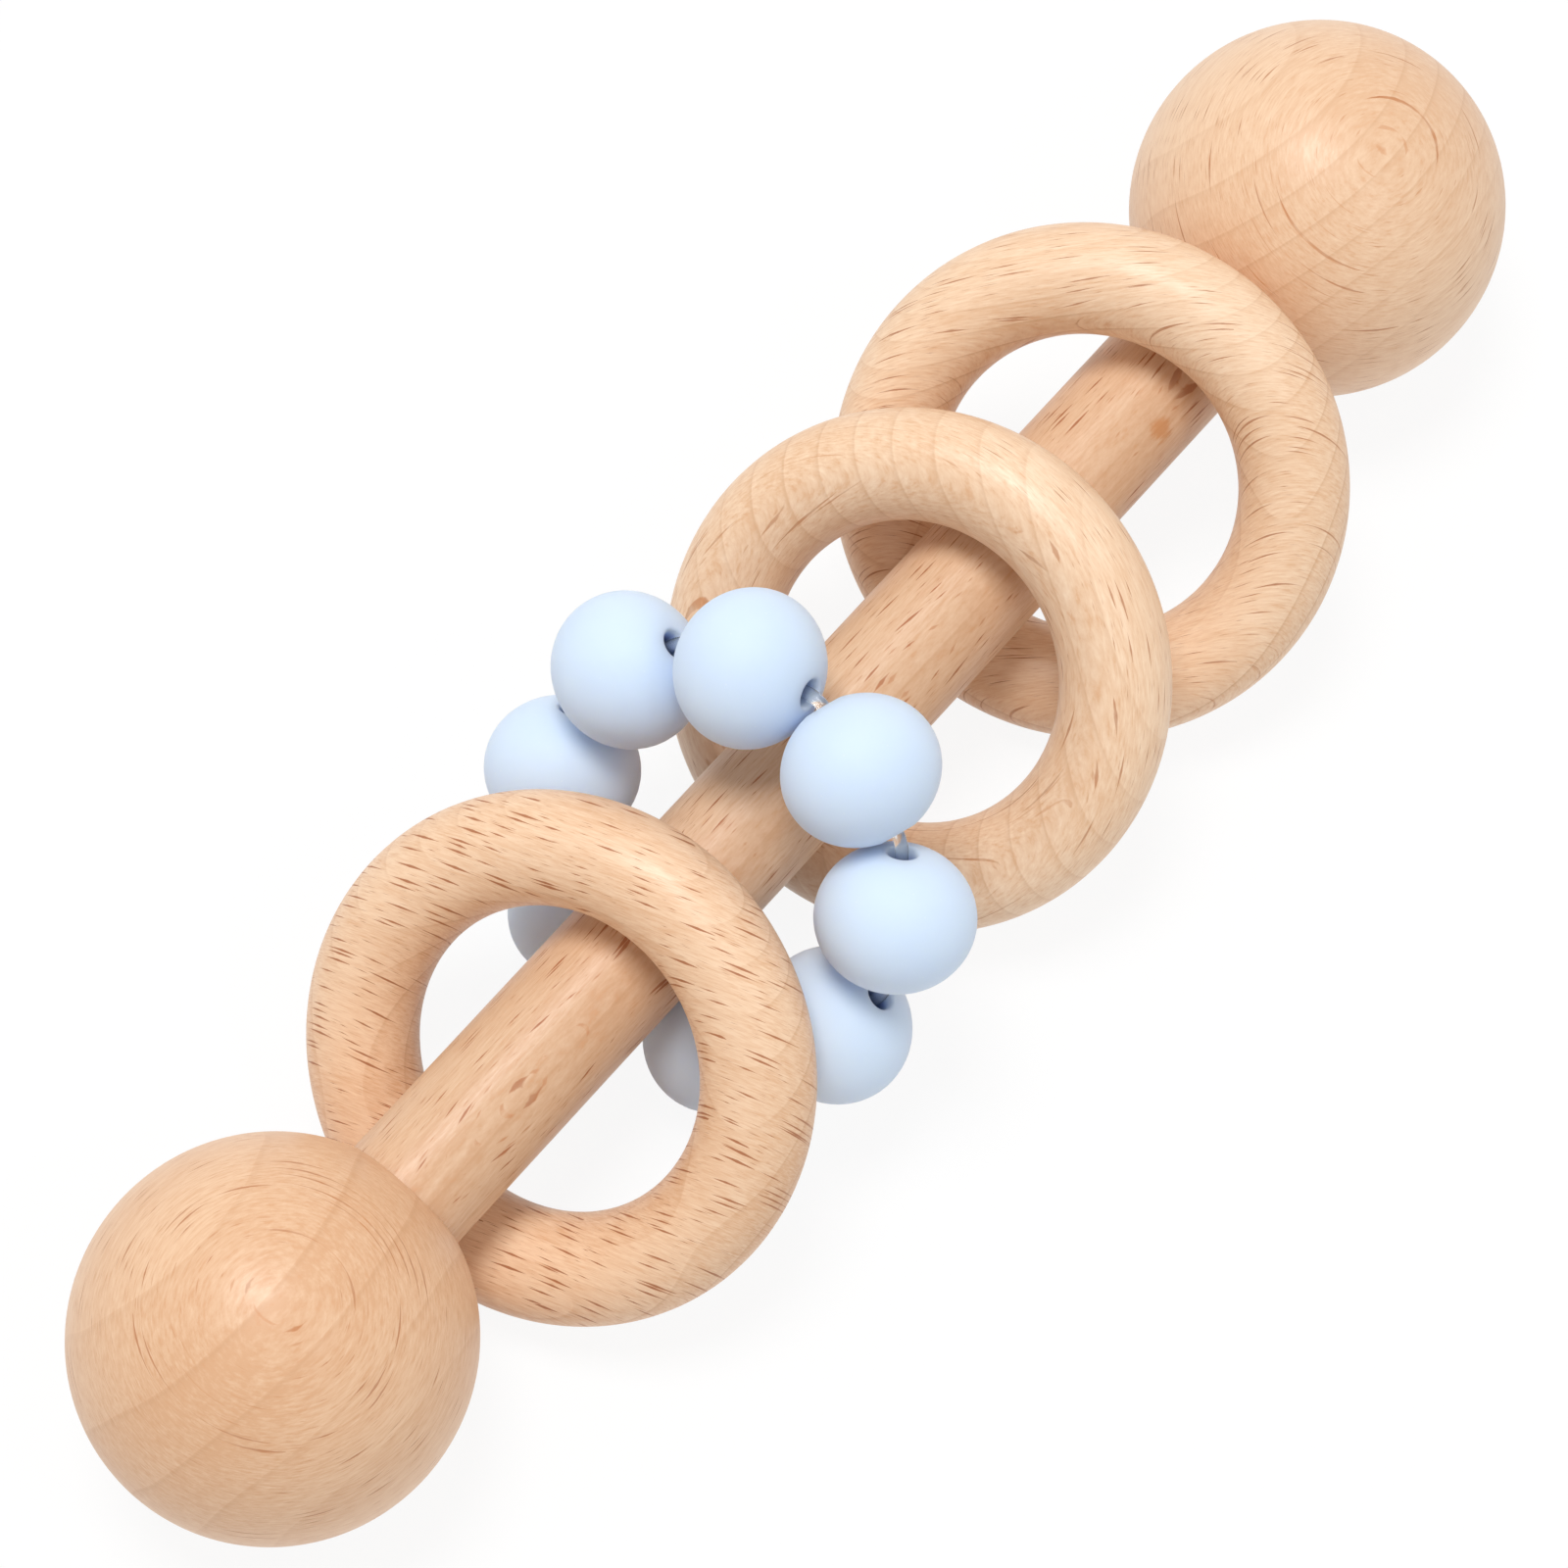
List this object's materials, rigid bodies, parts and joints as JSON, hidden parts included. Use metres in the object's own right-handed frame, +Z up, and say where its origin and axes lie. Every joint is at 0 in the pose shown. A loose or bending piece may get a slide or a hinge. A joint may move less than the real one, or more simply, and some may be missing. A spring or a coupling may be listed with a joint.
{
  "type": "baby rattle",
  "caption": "Wooden baby rattle: a round beech handle with an end ball at each end, loose wooden rings and a loop of soft silicone beads threaded on it.",
  "frame": {"origin": "middle of the footprint on the table, z = 0 at the bottom of the balls", "axes": "+X along the handle from ball_1 to ball_2, +Z up from the table the rattle lies on"},
  "size_m": [0.1522, 0.042, 0.0344],
  "materials": {
    "handle": "satin clear lacquer on beech",
    "ball_1": "satin clear lacquer on beech",
    "ball_2": "satin clear lacquer on beech",
    "ring_1": "satin clear lacquer on beech",
    "ring_2": "satin clear lacquer on beech",
    "ring_3": "satin clear lacquer on beech",
    "bead_1": "matte food-grade silicone",
    "bead_2": "matte food-grade silicone",
    "bead_3": "matte food-grade silicone",
    "bead_4": "matte food-grade silicone",
    "bead_5": "matte food-grade silicone",
    "bead_6": "matte food-grade silicone",
    "bead_7": "matte food-grade silicone",
    "bead_8": "matte food-grade silicone",
    "cord": "clear glossy polymer"
  },
  "bodies": {
    "handle_body": {"handle": "handle", "ball_1": "ball_1", "ball_2": "ball_2"},
    "ring_1_body": {"ring_1": "ring_1"},
    "ring_2_body": {"ring_2": "ring_2"},
    "ring_3_body": {"ring_3": "ring_3"},
    "cord_body": {"cord": "cord"},
    "bead_1_body": {"bead_1": "bead_1"},
    "bead_2_body": {"bead_2": "bead_2"},
    "bead_3_body": {"bead_3": "bead_3"},
    "bead_4_body": {"bead_4": "bead_4"},
    "bead_5_body": {"bead_5": "bead_5"},
    "bead_6_body": {"bead_6": "bead_6"},
    "bead_7_body": {"bead_7": "bead_7"},
    "bead_8_body": {"bead_8": "bead_8"}
  },
  "joints": [
    {"name": "ring_1_slide", "type": "slide", "parent": "handle_body", "child": "ring_1_body", "axis": [1, 0, 0], "range_m": [-0.0003, 0.0003]},
    {"name": "ring_2_slide", "type": "slide", "parent": "handle_body", "child": "ring_2_body", "axis": [1, 0, 0], "range_m": [0, 0.0035]},
    {"name": "ring_3_slide", "type": "slide", "parent": "handle_body", "child": "ring_3_body", "axis": [1, 0, 0], "range_m": [0, 0.0008]},
    {"name": "bead_loop_slide", "type": "slide", "parent": "handle_body", "child": "cord_body", "axis": [1, 0, 0], "range_m": [0, 0.0058]},
    {"name": "bead_1_spin", "type": "hinge", "parent": "cord_body", "child": "bead_1_body", "pos_m": [-0.01955, 0.00808, 0.00615], "axis": [-0.3444, -0.8601, -0.3762], "continuous": true},
    {"name": "bead_2_spin", "type": "hinge", "parent": "cord_body", "child": "bead_2_body", "pos_m": [-0.0138, 0.01508, 0.01312], "axis": [-0.5915, -0.2766, -0.7574], "continuous": true},
    {"name": "bead_3_spin", "type": "hinge", "parent": "cord_body", "child": "bead_3_body", "pos_m": [-0.00699, 0.01396, 0.02224], "axis": [-0.5152, 0.4581, -0.7244], "continuous": true},
    {"name": "bead_4_spin", "type": "hinge", "parent": "cord_body", "child": "bead_4_body", "pos_m": [-0.00285, 0.00534, 0.02851], "axis": [-0.1572, 0.9424, -0.2953], "continuous": true},
    {"name": "bead_5_spin", "type": "hinge", "parent": "cord_body", "child": "bead_5_body", "pos_m": [-0.00365, -0.00606, 0.02851], "axis": [0.2868, 0.9114, 0.2953], "continuous": true},
    {"name": "bead_6_spin", "type": "hinge", "parent": "cord_body", "child": "bead_6_body", "pos_m": [-0.00895, -0.01401, 0.02224], "axis": [0.5739, 0.382, 0.7244], "continuous": true},
    {"name": "bead_7_spin", "type": "hinge", "parent": "cord_body", "child": "bead_7_body", "pos_m": [-0.01584, -0.01417, 0.01312], "axis": [0.5472, -0.3563, 0.7574], "continuous": true},
    {"name": "bead_8_spin", "type": "hinge", "parent": "cord_body", "child": "bead_8_body", "pos_m": [-0.02057, -0.00645, 0.00615], "axis": [0.2213, -0.8997, 0.3762], "continuous": true}
  ]
}
